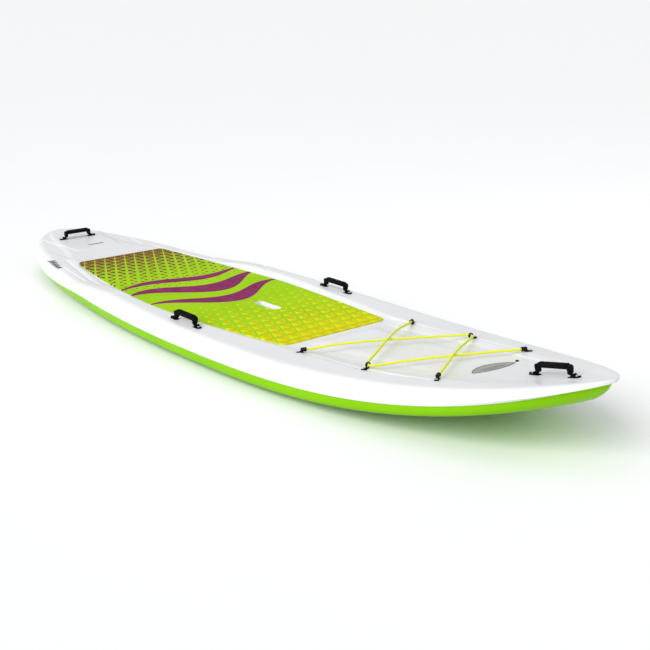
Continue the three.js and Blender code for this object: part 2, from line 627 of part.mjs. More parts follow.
const core = cut(cavity(SKIN + GLUE_LINE), [...coreCuts, finCut]);
const coreEnds = [-HALF_LENGTH, ...CORE_JOINTS, HALF_LENGTH];
coreEnds.slice(1).forEach((end, i) => {
  const start = coreEnds[i];
  const span = box((start + end) / 2, 0, 0, end - start - GAP, 2 * HALF_WIDTH, 2 * HALF_WIDTH);
  piece(`foam_core_${i + 1}`, core.intersect(span), FOAM);
});

export default board;
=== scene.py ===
# Stand up paddleboard: the finished look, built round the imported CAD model.
# Shapes are worked out in millimetres in the board frame (+X to the bow, +Y to port, heights from a level
# near the pad) and become metres, standing on Z = 0, when a piece is made.
from math import asin, atan, cos, hypot, pi, radians, sin, tau

import bmesh
import bpy
from mathutils import Matrix, Vector


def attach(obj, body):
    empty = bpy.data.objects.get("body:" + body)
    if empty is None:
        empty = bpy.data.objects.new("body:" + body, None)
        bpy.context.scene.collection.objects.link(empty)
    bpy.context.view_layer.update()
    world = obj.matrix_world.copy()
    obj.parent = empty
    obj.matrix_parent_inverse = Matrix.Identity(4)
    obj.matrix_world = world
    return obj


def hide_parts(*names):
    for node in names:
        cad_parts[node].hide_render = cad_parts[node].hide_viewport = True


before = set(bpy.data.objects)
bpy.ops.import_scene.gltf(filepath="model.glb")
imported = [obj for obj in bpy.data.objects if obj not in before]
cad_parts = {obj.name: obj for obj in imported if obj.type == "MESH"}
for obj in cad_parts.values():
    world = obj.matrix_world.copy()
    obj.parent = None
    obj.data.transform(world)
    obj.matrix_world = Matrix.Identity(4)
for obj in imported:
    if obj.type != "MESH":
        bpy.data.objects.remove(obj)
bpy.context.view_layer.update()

# ---- Driving dimensions, in millimetres ----
MM = 0.001
LIFT = 120  # the working level above the floor
HALF_LENGTH = 1600
HALF_WIDTH = 418.3
WIDEST_X = -11
OUTLINE = {"bow": (2.66, 0.64), "stern": (1.59, 0.38)}  # fullness and bluntness of each end in plan
FLAT_X = 300  # the bottom is flat from -FLAT_X to FLAT_X, and the deck is lowest at -FLAT_X
DECK_LOW_Z = -12
SEAM_Z = -61
# How far each line rises at an end of the board, and the power of its curve.
DECK_RISE = {"bow": (150, 3.4), "stern": (46, 2)}
SEAM_RISE = {"bow": (183, 3.57), "stern": (52, 2.83)}
BOTTOM_RISE = {"bow": (178, 2.53), "stern": (69, 2.06)}
STERN_HULL_DEPTH = 10  # the green that shows over the bottom at the stern
STERN_BLEND = (700, 1420)
RAIL_RISE = [(-850, -5), (-450, 22), (600, 7), (1600, 5)]  # (x, height of the rail's crown over the middle)
RAIL_WIDEST = 0.3  # the rail is widest at this share of its height
SKIN = 3.5
LIP = 4
SEAM_RAKE = 0.0125
HULL_RAKE = {"bow": 0.0425, "stern": 0.02}
SEAM_GAP = 0.3

PAD_AFT_X = -1035
PAD_FRONT_X = 440
PAD_WIDEST_X = -250
PAD_HALF_WIDTH = 300
PAD_TAPER = {"bow": (65, 1.5), "stern": (87, 1.6)}  # loss of half width at an end, and its power
PAD_THICKNESS = 5
PAD_CORNER = 30
PAD_EDGE = 1.8
PAD_LIFT = 0.3
GRIP_CUP = {"x": 0, "y": 32, "length": 130, "width": 36, "depth": 48, "wall": 3, "corner": 14}

# Relief of the deck: a well at the foredeck, a sunken surround at the stern's platform, grooves and a crown.
FOREDECK_X = 640  # the foredeck's own lines start here
WELL = {"depth": 8, "start": (PAD_FRONT_X, 560), "end": (1000, 1140)}
SIDE_RISE = 9  # the foredeck's raised sides over its middle
CREASE = 5  # how far the creases are rounded, to each side
PLATFORM = {"start": -1045, "front": -1222, "half": 105, "flare": 35, "slope": 0.985, "edge": 7, "drop": 2.4}
# Shallow grooves beside the pad's aft end and the foredeck, from one point to another on the port side.
GROOVES = [
    ((-1031, 283), (-791, 316)), ((-1124, 222), (-689, 309)), ((-1008, 218), (-582, 297)),
    ((-590, 394), (-494, 361)), ((-494, 361), (-374, 319)),
    ((430, 254), (860, 250)), ((860, 250), (1110, 212)),
]
GROOVE_DEPTH = 3
GROOVE_REACH = 8
CROWN = {"rise": 12, "half": 108, "foot": 198}  # the raised middle of the foredeck
CHANNEL = {"depth": 2.2, "half": 118, "edge": 9}  # the shallow channel on each side of the crown

HANDLES = [("bow", 1393, 0, 0), ("port", 23, 355, 0), ("starboard", 23, -355, 0), ("tail", -1427, 0, pi / 2)]
HALF_SPAN = 64
HANDLE_TOP = 35
SHOULDER_R = 9
BAND = 5
BAND_WIDTH = 18
FLARE = 3  # the band is this much wider at its shoulders
NECK_WIDTH = 9.5
LEG_SWELL = 6.5
HINGE_Z = 5.2
BARREL_R = 3.6
BARREL_LENGTH = 10
SLEEVE = (100, 27, 15)  # the grip's length, width and height
RIBS = 13
RIB_DEPTH = 1.5
RIB_SLANT = 2.2
SQUARENESS = 2.6  # the power of the grip's rounded section: 2 is an ellipse
SHOE = {"start": 64.5, "length": 26, "width": 21, "tongue": 4, "heel": 10.4}
SHOE_SCREW_X = 79.5
SADDLE = 14  # how far a foot runs on under the leg
# Screws, as (head radius, head height, shank radius, length).
HANDLE_SCREW = (5, 2.8, 2.5, 26)
TAB_SCREW = (4, 2.2, 1.9, 15)
SCREW_LIFT = 0.3

CORD_R = 4
CORD_AXIS_Z = 9.5
TAB = {"length": 25, "width": 14, "height": 3, "screw_x": 17}
# The cord fittings of the port side, as (name, x, y, direction of the cord in degrees).
FITTINGS = [("aft_socket", 557, 253, -58.5), ("middle_eye", 857, 238, -90), ("fore_socket", 1122, 198, -121)]
# The lacing of the first cord, as [x, y, height, second cord's height]. The second cord mirrors it in y.
LACING = [
    [557.4, -251.5, 14.5, 14.5], [563.8, -241.1, 14.9, 14.9], [569, -232.5, 15.3, 15.4],
    [575, -222.5, 16.4, 16.6], [608, -167, 25, 27], [640, -113, 29.5, 35.5], [675, -54.5, 32, 41],
    [708, 1, 33.6, 42.7], [741, 56.5, 35, 41.7], [775, 113.7, 35.6, 39.4], [824, 196.1, 35.4, 36],
    [835, 214.6, 35.2, 35.4], [841.9, 226.2, 35.1, 35.2], [848, 232, 35.1, 35.1], [856.5, 234.5, 35.2, 35.2],
    [865, 232, 35.4, 35.3], [871.1, 226.2, 35.9, 35.6], [878, 214.6, 37, 36.2], [889, 195.9, 39.5, 38],
    [930, 126, 49, 45], [965, 66.5, 57.4, 49.9], [1003, 2, 62.2, 53.3], [1036, -54, 62.6, 55.8],
    [1060, -95, 61.8, 57.6], [1103.4, -169, 60.2, 60], [1108.5, -177.5, 60.8, 60.8],
    [1113.6, -186, 61.5, 61.5], [1119.6, -196, 62.3, 62.3],
]
BADGE = {"x": 1156, "y": 12, "length": 172, "fore": 20, "aft": 50, "turn": 82}
VENT = {"x": 1165, "y": 107}
TAIL_MARK = {"x": -1282, "y": 16, "length": 78, "width": 9}
QUARTER_BARS = {"x": -1150, "y": -262, "pitch": 26, "drift": 7, "width": 15, "slant": 11, "length": 34}
FIN_BOX = {"x": -1240, "length": 262, "width": 30, "depth": 32, "slot_length": 236, "slot_width": 9.6}

FLOOR_REACH = 400  # metres
# The camera, fitted to the outline of the board: a target near the middle, in metres, angles and distance.
CAMERA = {
    "target": (0.35938, 0.02422, 0.12), "azimuth": 49.54, "elevation": 16.9, "distance": 4.0221,
    "lens": 62.30, "shift": (-0.0037, -0.0005),
}


# ---- Small helpers ----
def clamp01(t):
    return min(1, max(0, t))


def smooth(x, start, end):
    t = clamp01((x - start) / (end - start))
    return t * t * (3 - 2 * t)


def mix(a, b, t):
    return a + (b - a) * t


def steps(start, end, count):
    return [mix(start, end, i / count) for i in range(count + 1)]


# ---- The board's lines ----
def end_of(bow):
    return "bow" if bow else "stern"


def rise(line, bow, share):
    """How far a line has moved after a share of its run towards the bow or the stern."""
    amount, power = line[end_of(bow)]
    return amount * share ** power


def half_width(x):
    bow = x > WIDEST_X
    t = abs(x - WIDEST_X) / (HALF_LENGTH - WIDEST_X if bow else HALF_LENGTH + WIDEST_X)
    fullness, bluntness = OUTLINE[end_of(bow)]
    return HALF_WIDTH * max(0, 1 - t ** fullness) ** bluntness


def deck_line(x):
    bow = x > -FLAT_X
    run = HALF_LENGTH + (FLAT_X if bow else -FLAT_X)
    return DECK_LOW_Z + rise(DECK_RISE, bow, abs(x + FLAT_X) / run)


def bottom_line(x):
    return -LIFT + rise(BOTTOM_RISE, x > 0, max(0, abs(x) - FLAT_X) / (HALF_LENGTH - FLAT_X))


def seam_line(x):
    """The line between white and green, which runs close to the bottom at the stern."""
    level = SEAM_Z + rise(SEAM_RISE, x > 0, abs(x) / HALF_LENGTH)
    if x > 0:
        return level
    return mix(level, bottom_line(x) + STERN_HULL_DEPTH, smooth(-x, *STERN_BLEND))


def rail_rise(x):
    """Height of the rail's crown over the middle: low at the stern and highest beside the pad."""
    (x0, z0), (x1, z1), (x2, z2), (x3, z3) = RAIL_RISE
    height = z0 + (z1 - z0) * smooth(x, x0, x1)
    height += (z2 - z1) * clamp01((x - x1) / (x2 - x1))
    return height + (z3 - z2) * clamp01((x - x2) / (x3 - x2))


def pad_half_width(x):
    bow = x >= PAD_WIDEST_X
    run = PAD_FRONT_X - PAD_WIDEST_X if bow else PAD_WIDEST_X - PAD_AFT_X
    return PAD_HALF_WIDTH - rise(PAD_TAPER, bow, abs(x - PAD_WIDEST_X) / run)


def deck_points(x):
    """Side distances and heights of the deck's fore-and-aft lines: the middle, the edge of the flat part,
    the foot and the top of the raised side, and the rail's crown."""
    w = half_width(x)
    fore = smooth(x, PAD_FRONT_X, FOREDECK_X)
    well = WELL["depth"] * smooth(x, *WELL["start"]) * (1 - smooth(x, *WELL["end"]))
    pad_share = mix(0.657, 0.5, smooth(x, PAD_AFT_X, -1300))
    pad = pad_share * w if x < PAD_AFT_X else pad_half_width(min(x, PAD_FRONT_X))
    if x > PAD_FRONT_X:
        inner, foot, ridge = w * mix(0.4, 0.36, fore), w * mix(0.59, 0.5, fore), w * 0.65
    else:
        aft_share = min(1, w / 324)
        inner, foot, ridge = pad * 0.65, pad - 1.5 * aft_share, pad + 30 * aft_share
    crown = rail_rise(x) * min(1, w / 150)
    side = mix(crown, SIDE_RISE, fore * (1 - smooth(x, 1150, 1400)))
    rows = [(0, -well), (inner, -well), (foot, fore * (side - well) / 2), (ridge, side),
            (w - min(42, 0.3 * w), crown)]
    return [(y, z + deck_line(x)) for y, z in rows]


def height_between(points, side):
    for (y0, z0), (y1, z1) in zip(points, points[1:]):
        if side <= y1:
            return mix(z0, z1, (side - y0) / (y1 - y0)) if y1 > y0 else z0
    return points[-1][1]


def deck_height(x, y):
    return height_between(deck_points(x), abs(y))


def distance_to_line(x, y, a, b):
    """How far (x, y) is from the straight line between two points, within its ends."""
    along = ((x - a[0]) * (b[0] - a[0]) + (y - a[1]) * (b[1] - a[1])) / hypot(b[0] - a[0], b[1] - a[1]) ** 2
    t = clamp01(along)
    return hypot(x - mix(a[0], b[0], t), y - mix(a[1], b[1], t))


def platform_relief(x, side):
    """The sunken surround of the stern's platform, out to the foot of the raised side."""
    ridge = 178 + 19 * smooth(x, -1071, -1129) + 17 * smooth(x, -1129, -1301)
    platform = PLATFORM["half"] + PLATFORM["flare"] * clamp01((PLATFORM["front"] - x) / 220)
    inside = min(PLATFORM["front"] - x, (platform - side) * PLATFORM["slope"])
    surround = 1 - smooth(inside, -PLATFORM["edge"], 0)
    surround *= 1 - smooth(side, ridge - 4, ridge + 4)
    surround *= smooth(x, PLATFORM["start"], -1100) * (1 - smooth(x, -1440, -1560))
    return -PLATFORM["drop"] * surround


def groove_relief(x, side):
    shares = [1 - smooth(distance_to_line(x, side, a, b), 0, GROOVE_REACH) for a, b in GROOVES]
    return -GROOVE_DEPTH * max(shares)


def crown_relief(x, side):
    ends = smooth(x, PAD_FRONT_X + 15, 520) * (1 - smooth(x, 1040, 1110))
    return ends * CROWN["rise"] * (1 - clamp01((side - CROWN["half"]) / (CROWN["foot"] - CROWN["half"])))


def channel_relief(x, side):
    middle = mix(CROWN["foot"], CHANNEL["half"], clamp01((x - 900) / 430))
    inner = smooth(side, CROWN["half"] * 0.9, middle) * (1 - smooth(side, middle, middle + CHANNEL["edge"]))
    return CHANNEL["depth"] * inner * smooth(x, 460, 540) * (1 - smooth(x, 1270, 1330))


def relief(x, y):
    """The moulded relief of the deck, over its fore-and-aft lines."""
    side = abs(y)
    sunk = min(platform_relief(x, side), groove_relief(x, side))
    return sunk + crown_relief(x, side) - channel_relief(x, side)


def skin_height(points, x, y):
    """The finished deck's height: the lines with their creases rounded, and the moulded relief."""
    spread = [height_between(points, abs(y + CREASE * k / 2)) for k in (-2, -1, 0, 1, 2)]
    return sum(spread) / len(spread) + relief(x, y)


def deck_frame(x, y, turn=0, reach=0):
    """A frame on the deck, in millimetres, tilted to its slope fore and aft and turned about its upright."""
    along_x = reach * cos(turn)
    along_y = reach * sin(turn)
    run = max(20, along_x)
    slope = (deck_height(x + run, y) - deck_height(x - run, y)) / (2 * run)
    ends = [deck_height(x + end * along_x, y + end * along_y) for end in (-1, 1)]
    return at(x, y, sum(ends) / 2) @ turned_by(-atan(slope), "Y") @ turned_by(turn, "Z")


# ---- Making meshes ----
SMOOTH_ANGLE = radians(38)
BOARD = Matrix.Identity(4)


def add_object(name, data):
    obj = bpy.data.objects.new(name, data)
    bpy.context.scene.collection.objects.link(obj)
    return obj


def at(x, y, z):
    return Matrix.Translation((x, y, z))


def turned_by(angle, axis):
    return Matrix.Rotation(angle, 4, axis)


def clean(mesh):
    """Merges points that meet and turns the faces outwards."""
    work = bmesh.new()
    work.from_mesh(mesh)
    bmesh.ops.remove_doubles(work, verts=work.verts, dist=2e-6)
    bmesh.ops.dissolve_degenerate(work, edges=work.edges, dist=1e-6)
    bmesh.ops.recalc_face_normals(work, faces=work.faces)
    work.to_mesh(mesh)
    work.free()


def make(name, points, faces, place=BOARD, angle=SMOOTH_ANGLE):
    """An object from points in millimetres, in a frame on the board."""
    mesh = bpy.data.meshes.new(name)
    lifted = [place @ Vector(p) + Vector((0, 0, LIFT)) for p in points]
    mesh.from_pydata([p * MM for p in lifted], [], faces)
    clean(mesh)
    mesh.shade_smooth()
    mesh.set_sharp_from_angle(angle=angle)
    return add_object(name, mesh)


def loft(loops, capped=True, closed=False):
    """Points and faces of a skin through rings with the same number of points each."""
    count = len(loops[0])
    points = [p for ring in loops for p in ring]
    faces = []
    rings = len(loops) if closed else len(loops) - 1
    for i in range(rings):
        first = i * count
        second = (i + 1) % len(loops) * count
        for j in range(count):
            k = (j + 1) % count
            faces.append((first + j, first + k, second + k, second + j))
    if capped:
        faces.append(tuple(range(count - 1, -1, -1)))
        faces.append(tuple(range(len(points) - count, len(points))))
    return points, faces


def turned(profile, sides=40):
    """A solid of revolution about Z from (radius, height) pairs; its ends lie on the axis."""
    angles = steps(0, tau, sides)[:-1]
    loops = [[(r * cos(a), r * sin(a), z) for a in angles] for r, z in profile[1:-1]]
    points, faces = loft(loops, capped=False)
    low = len(points)
    last = low - sides
    points += [(0, 0, profile[0][1]), (0, 0, profile[-1][1])]
    for i in range(sides):
        k = (i + 1) % sides
        faces += [(low, k, i), (low + 1, last + i, last + k)]
    return points, faces


def turned_ring(profile, sides=40):
    """A ring about Z from a closed loop of (radius, height) pairs."""
    angles = steps(0, tau, sides)[:-1]
    loops = [[(r * cos(a), r * sin(a), z) for r, z in profile] for a in angles]
    return loft(loops, capped=False, closed=True)


def rounded_rectangle(length, width, radius, arc=8):
    corners = [(1, 1, 0), (-1, 1, 1), (-1, -1, 2), (1, -1, 3)]
    outline = []
    for sx, sy, quarter in corners:
        for i in range(arc + 1):
            angle = (quarter + i / arc) * pi / 2
            x = sx * (length / 2 - radius) + radius * cos(angle)
            outline.append((x, sy * (width / 2 - radius) + radius * sin(angle)))
    return outline


def grown(size, corner, grow, arc=8):
    """A rounded rectangle, larger than its length and width by a margin all round."""
    return rounded_rectangle(size["length"] + 2 * grow, size["width"] + 2 * grow, corner + grow, arc)


def both_sides(x, side):
    """A ring at x from its (y, z) points on one side, mirrored to the other."""
    return [(x, y, z) for y, z in side] + [(x, -y, z) for y, z in side[::-1]]


def stacked(outline, profile):
    """Rings from outline(grow) at each (grow, height) of a profile, capped at both ends."""
    return loft([[(x, y, z) for x, y in outline(grow)] for grow, z in profile])


def prism(outline, low, high):
    return loft([[(x, y, z) for x, y in outline] for z in (low, high)])


def boolean(obj, cutter, operation="DIFFERENCE"):
    modifier = obj.modifiers.new("cut", "BOOLEAN")
    modifier.operation = operation
    modifier.object = cutter
    modifier.solver = "EXACT"
    graph = bpy.context.evaluated_depsgraph_get()
    result = bpy.data.meshes.new_from_object(obj.evaluated_get(graph))
    obj.modifiers.clear()
    obj.data = result
    bpy.data.objects.remove(cutter)
    result.shade_smooth()
    result.set_sharp_from_angle(angle=SMOOTH_ANGLE)


def dress(obj, material, slot, *nodes, body="board"):
    obj.data.materials.clear()
    obj.data.materials.append(material)
    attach(obj, body)
    if nodes:
        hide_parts(*nodes)


# ---- Materials ----
def srgb(red, green, blue):
    """A linear colour from 0 to 255 screen values."""
    values = [v / 255 for v in (red, green, blue)]
    linear = [v / 12.92 if v <= 0.04045 else ((v + 0.055) / 1.055) ** 2.4 for v in values]
    return (*linear, 1)


def shade(value):
    return (value, value, value, 1)


class Nodes:
    """A short way to write a material's node tree. Values may be numbers, colours or other outputs."""

    def __init__(self, name, roughness=0.5, **constants):
        self.material = bpy.data.materials.new(name)
        self.material.use_nodes = True
        self.tree = self.material.node_tree
        self.shader = self.tree.nodes["Principled BSDF"]
        self.roughness(roughness)
        for socket, value in constants.items():
            self.shader.inputs[socket.replace("_", " ")].default_value = value
        self.place = self.add("TexCoord").outputs["Object"]

    def add(self, kind, **values):
        node = self.tree.nodes.new("ShaderNode" + kind)
        for socket, value in values.items():
            self.put(node.inputs[socket], value)
        return node

    def put(self, socket, value):
        if isinstance(value, bpy.types.NodeSocket):
            self.tree.links.new(value, socket)
        else:
            socket.default_value = value

    def math(self, operation, *values):
        node = self.add("Math")
        node.operation = operation
        for socket, value in zip(node.inputs, values):
            self.put(socket, value)
        return node.outputs[0]

    def times(self, a, b):
        return self.math("MULTIPLY", a, b)

    def minus(self, a, b):
        return self.math("SUBTRACT", a, b)

    def blend(self, factor, a, b):
        node = self.add("Mix")
        node.data_type = "RGBA"
        for socket, value in (("Factor", factor), ("A", a), ("B", b)):
            self.put(node.inputs[socket], value)
        return node.outputs["Result"]

    def span(self, value, low, high, out_low=0.0, out_high=1.0):
        node = self.add("MapRange")
        for socket, number in zip(node.inputs, (value, low, high, out_low, out_high)):
            self.put(socket, number)
        return node.outputs[0]

    def noise(self, scale, detail=3.0, stretch=None, rough=0.5):
        source = self.place
        if stretch:
            source = self.add("Mapping", Vector=source, Scale=stretch).outputs[0]
        node = self.add("TexNoise", Scale=scale, Detail=detail, Roughness=rough, Vector=source)
        return node.outputs["Fac"]

    def patches(self, scale, detail=3.0, low=0.3, high=0.7):
        return self.span(self.noise(scale, detail), low, high)

    def axes(self):
        return self.add("SeparateXYZ", Vector=self.place).outputs

    def colour(self, value):
        self.put(self.shader.inputs["Base Color"], value)

    def roughness(self, value):
        self.put(self.shader.inputs["Roughness"], value)

    def bump(self, height, distance, strength=1.0):
        node = self.add("Bump", Distance=distance, Strength=strength, Height=height)
        self.put(self.shader.inputs["Normal"], node.outputs[0])


def moulded(name, light, dark, shine, grain, depth, **constants):
    """A moulded surface: two close tones in soft patches, uneven gloss and a fine grain."""
    nodes = Nodes(name, **constants)
    nodes.colour(nodes.blend(nodes.patches(9, 4), light, dark))
    nodes.roughness(nodes.span(nodes.noise(45, 5), 0.3, 0.7, *shine))
    nodes.bump(nodes.noise(grain, 4), depth)
    return nodes.material


def deck_material():
    """White skin with soft cool patches, faint scuffs along the board and a light orange peel."""
    nodes = Nodes("deck_white", Specular_IOR_Level=0.4, Coat_Weight=0.12, Coat_Roughness=0.2)
    patch = nodes.patches(3.5, 3, 0.35, 0.65)
    base = nodes.blend(patch, (0.76, 0.765, 0.78, 1), (0.79, 0.795, 0.805, 1))
    scuff = nodes.noise(60, 6, stretch=(0.08, 1, 1), rough=0.65)
    nodes.colour(nodes.blend(nodes.span(scuff, 0.62, 0.85, 0, 0.04), base, (0.66, 0.67, 0.69, 1)))
    nodes.roughness(nodes.span(scuff, 0.3, 0.75, 0.31, 0.37))
    nodes.bump(nodes.noise(260, 3), 0.00008)
    return nodes.material


def hull_material():
    """Glossy green skin, with a slight drift in tone and fine lengthwise rubbing."""
    nodes = Nodes("hull_green", Specular_IOR_Level=0.1)
    base = nodes.blend(nodes.patches(4, 3, 0.35, 0.65), srgb(124, 187, 0), srgb(130, 192, 0))
    rub = nodes.noise(70, 6, stretch=(0.06, 1, 1), rough=0.65)
    nodes.colour(nodes.blend(nodes.span(rub, 0.66, 0.8, 0, 0.12), base, srgb(120, 178, 10)))
    nodes.roughness(nodes.span(rub, 0.3, 0.75, 0.26, 0.46))
    nodes.bump(nodes.noise(240, 3), 0.00008)
    return nodes.material


def triangle_print(nodes, x, y, column, row):
    """A lattice of triangles with columns across the pad. Gives how far inside its triangle a point lies,
    from 0 at the edges to 1/3 in the middle, which way the triangle points, and which of the three facets
    the point lies on, which picks the painted shade of that face."""
    along = nodes.times(x, 0.5 / (column * MM))
    across = nodes.times(y, 1 / (row * MM))
    a = nodes.math("FRACT", nodes.math("ADD", along, across))
    b = nodes.math("FRACT", nodes.minus(along, across))
    total = nodes.math("ADD", a, b)
    flipped = nodes.math("GREATER_THAN", total, 1.0)
    pairs = ((flipped, a), (flipped, b), (1.0, total))
    p, q, r = [nodes.math("ABSOLUTE", nodes.minus(*pair)) for pair in pairs]
    nearest = nodes.math("MINIMUM", nodes.math("MINIMUM", p, q), r)
    first = nodes.math("COMPARE", nearest, p, 1e-4)
    second = nodes.times(nodes.math("COMPARE", nearest, q, 1e-4), 0.5)
    return nearest, flipped, nodes.math("MAXIMUM", first, second)


def ribbon(nodes, x, y, centre, sway, turns, phase, width):
    """A wavy ribbon across the pad that thins out at its ends. Gives 1 inside it."""
    wave = nodes.math("SINE", nodes.math("ADD", nodes.times(y, turns), phase))
    middle = nodes.math("ADD", nodes.times(wave, sway * MM), centre * MM)
    half = nodes.times(nodes.math("COSINE", nodes.times(y, 4.9)), width * MM / 2)
    off = nodes.math("ABSOLUTE", nodes.minus(x, middle))
    return nodes.span(nodes.minus(half, off), -0.0006, 0.0006)


# The pad's two prints, in metres from the board's middle: between two places the margin inside the triangles
# goes from one share of their size to another. The tones are the print's colours by the way a triangle
# points, each in
# a darker and a lighter copy: painted shade and painted light on the three facets of each raised triangle.
AFT_PRINT = {
    "size": (45.5, 49.4), "x": (-1.035, -0.33), "margin": (0.018, 0.34), "side": "LESS_THAN", "limit": -0.33,
    "tones": (((108, 34, 40), (150, 74, 70)), ((92, 56, 22), (138, 76, 60))),
}
FORE_PRINT = {
    "size": (58.5, 52.6), "x": (-0.3, 0.44), "margin": (0.32, 0.02), "side": "GREATER_THAN", "limit": -0.3,
    "tones": (((212, 214, 0), (228, 222, 6)), ((216, 184, 4), (214, 208, 0))),
}
# The plum ribbons: centre, sway, turns, phase and width.
RIBBONS = [(-540, 30, 12.0, 0.4, 62), (-405, 58, 11.0, 1.1, 118), (-235, 62, 11.0, 1.6, 98)]


def printed_over(nodes, x, y, ground, zone):
    """The ground with a print over it, and the distance inside the print's triangles."""
    inside, flipped, facet = triangle_print(nodes, x, y, *zone["size"])
    margin = nodes.span(x, *zone["x"], *zone["margin"])
    ink = nodes.span(nodes.minus(inside, margin), -0.012, 0.012)
    ink = nodes.times(ink, nodes.math(zone["side"], x, zone["limit"]))
    # painted shade: each of a triangle's three facets gets a darker, middle or lighter copy of its print
    # colour, as light would fall on raised facets
    one_way, other_way = [nodes.blend(facet, srgb(*dark), srgb(*light)) for dark, light in zone["tones"]]
    return nodes.blend(ink, ground, nodes.blend(flipped, one_way, other_way)), inside


def pad_material():
    """Closed-cell foam, printed with triangles that shrink from both ends towards the middle, each triangle's
    three facets painted in darker and lighter copies of its colour as painted shade.
    """
    nodes = Nodes("pad_print", Specular_IOR_Level=0.1)
    x, y, _ = nodes.axes()
    lime = nodes.blend(nodes.patches(6, 3, 0.35, 0.65), srgb(154, 204, 12), srgb(162, 210, 18))
    printed, inside = printed_over(nodes, x, y, lime, AFT_PRINT)
    printed, _ = printed_over(nodes, x, y, printed, FORE_PRINT)
    plum = nodes.blend(nodes.patches(30, 4), srgb(122, 30, 84), srgb(146, 42, 104))
    for row in RIBBONS:
        printed = nodes.blend(ribbon(nodes, x, y, *row), printed, plum)
    speckle = nodes.span(nodes.noise(900, 2), 0.35, 0.65, 0, 0.1)
    nodes.colour(nodes.blend(speckle, printed, srgb(96, 120, 30)))
    nodes.roughness(nodes.span(nodes.noise(300, 3), 0.3, 0.7, 0.7, 0.9))
    groove = nodes.math("MINIMUM", nodes.times(inside, 10.0), 1.0)
    cells = nodes.add("TexVoronoi", Scale=420, Vector=nodes.place)
    grain = nodes.times(cells.outputs["Distance"], 0.5)
    nodes.bump(nodes.math("ADD", groove, grain), 0.0005, 0.6)
    return nodes.material


def braid_material():
    """A braided sheath: strands that cross in a fine diamond weave, read from the cord's own map, with
    painted shade in the weave's hollows and painted highlight on its crests.
    """
    nodes = Nodes("bungee_braid", Specular_IOR_Level=0.2)
    nodes.place = nodes.tree.nodes["Texture Coordinate"].outputs["UV"]
    around, along, _ = nodes.axes()
    turn = nodes.times(around, tau * 8)
    run = nodes.times(along, tau / 6)
    ways = (nodes.math("ADD", turn, run), nodes.minus(turn, run))
    weave = nodes.times(*[nodes.math("SINE", way) for way in ways])
    # painted shade and painted highlight: the yellow is darker in the weave's hollows and lighter, whiter on
    # its crests, following the bump's height
    base = nodes.blend(nodes.span(weave, -0.6, 0.6), srgb(222, 228, 20), srgb(246, 250, 70))
    tracer = nodes.math("SINE", nodes.math("ADD", turn, nodes.times(along, 0.35)))
    fleck = nodes.times(nodes.math("GREATER_THAN", tracer, 0.93), 0.25)
    nodes.colour(nodes.blend(fleck, base, srgb(160, 168, 30)))
    nodes.roughness(nodes.span(weave, -1, 1, 0.75, 0.6))
    nodes.bump(weave, 0.00025, 0.8)
    return nodes.material


def steel_material():
    nodes = Nodes("screw_steel", Metallic=1.0)
    nodes.colour(nodes.blend(nodes.noise(400, 3), (0.52, 0.53, 0.55, 1), shade(0.8)))
    nodes.roughness(nodes.span(nodes.noise(900, 3), 0.3, 0.7, 0.18, 0.38))
    nodes.bump(nodes.noise(1500, 2), 0.00003)
    return nodes.material


def badge_material():
    nodes = Nodes("badge_satin", Metallic=0.35)
    brushed = nodes.noise(700, 4, stretch=(1, 0.05, 1))
    nodes.colour(nodes.blend(brushed, (0.3, 0.3, 0.32, 1), (0.46, 0.46, 0.48, 1)))
    nodes.roughness(nodes.span(brushed, 0.3, 0.7, 0.28, 0.45))
    nodes.bump(brushed, 0.00004)
    return nodes.material


def floor_material():
    nodes = Nodes("studio_floor", roughness=0.9)
    nodes.colour(nodes.blend(nodes.noise(2, 2), shade(0.93), shade(0.95)))
    return nodes.material


WHITE = deck_material()
GREEN = hull_material()
PRINT = pad_material()
BRAID = braid_material()
STEEL = steel_material()
SATIN = badge_material()
RUBBER = moulded("black_rubber", shade(0.002), shade(0.005), (0.45, 0.6), 700, 0.00012,
                 Specular_IOR_Level=0.06)
PLASTIC = moulded("black_plastic", shade(0.004), (0.008, 0.008, 0.009, 1), (0.3, 0.45), 900, 0.00006,
                  Specular_IOR_Level=0.15)
CUP_WHITE = moulded("cup_white", (0.76, 0.765, 0.775, 1), (0.8, 0.805, 0.81, 1), (0.35, 0.5), 500, 0.00008)
GREY = moulded("mark_grey", (0.1, 0.105, 0.115, 1), (0.16, 0.165, 0.175, 1), (0.4, 0.55), 800, 0.00005)
FOAM = moulded("core_foam", (0.78, 0.75, 0.66, 1), (0.86, 0.83, 0.75, 1), (0.85, 0.95), 260, 0.0006)
NYLON = moulded("block_nylon", (0.56, 0.54, 0.48, 1), (0.64, 0.62, 0.56, 1), (0.5, 0.62), 500, 0.0001)


# ---- Deck and hull ----
SIDE_STATIONS = 210
DECK_SPANS = (12, 10, 10, 16)  # divisions between the deck's lines, from the middle out
RAIL_STEPS = 14
HULL_STEPS = 14
HOLLOW_INSET = 8  # from the rail in to the hollow under the deck skin


def stations():
    """Places along the board, closer together towards its ends, where the outline turns fast."""
    for i in range(-SIDE_STATIONS, SIDE_STATIONS + 1):
        share = abs(i) / SIDE_STATIONS
        yield HALF_LENGTH * (1 - (1 - share) ** 2.2) * (1 if i > 0 else -1)


def rail_points(x, crown_y, crown_z):
    """The rail from just outside the crown to its widest."""
    w = half_width(x)
    seam = seam_line(x)
    widest_z = seam + RAIL_WIDEST * (crown_z - seam)
    rail = []
    for i in range(1, RAIL_STEPS + 1):
        angle = pi / 2 * (1 - i / RAIL_STEPS)
        y = crown_y + (w - crown_y) * cos(angle) ** 0.8
        rail.append((x, y, widest_z + (crown_z - widest_z) * sin(angle) ** 0.8))
    return rail


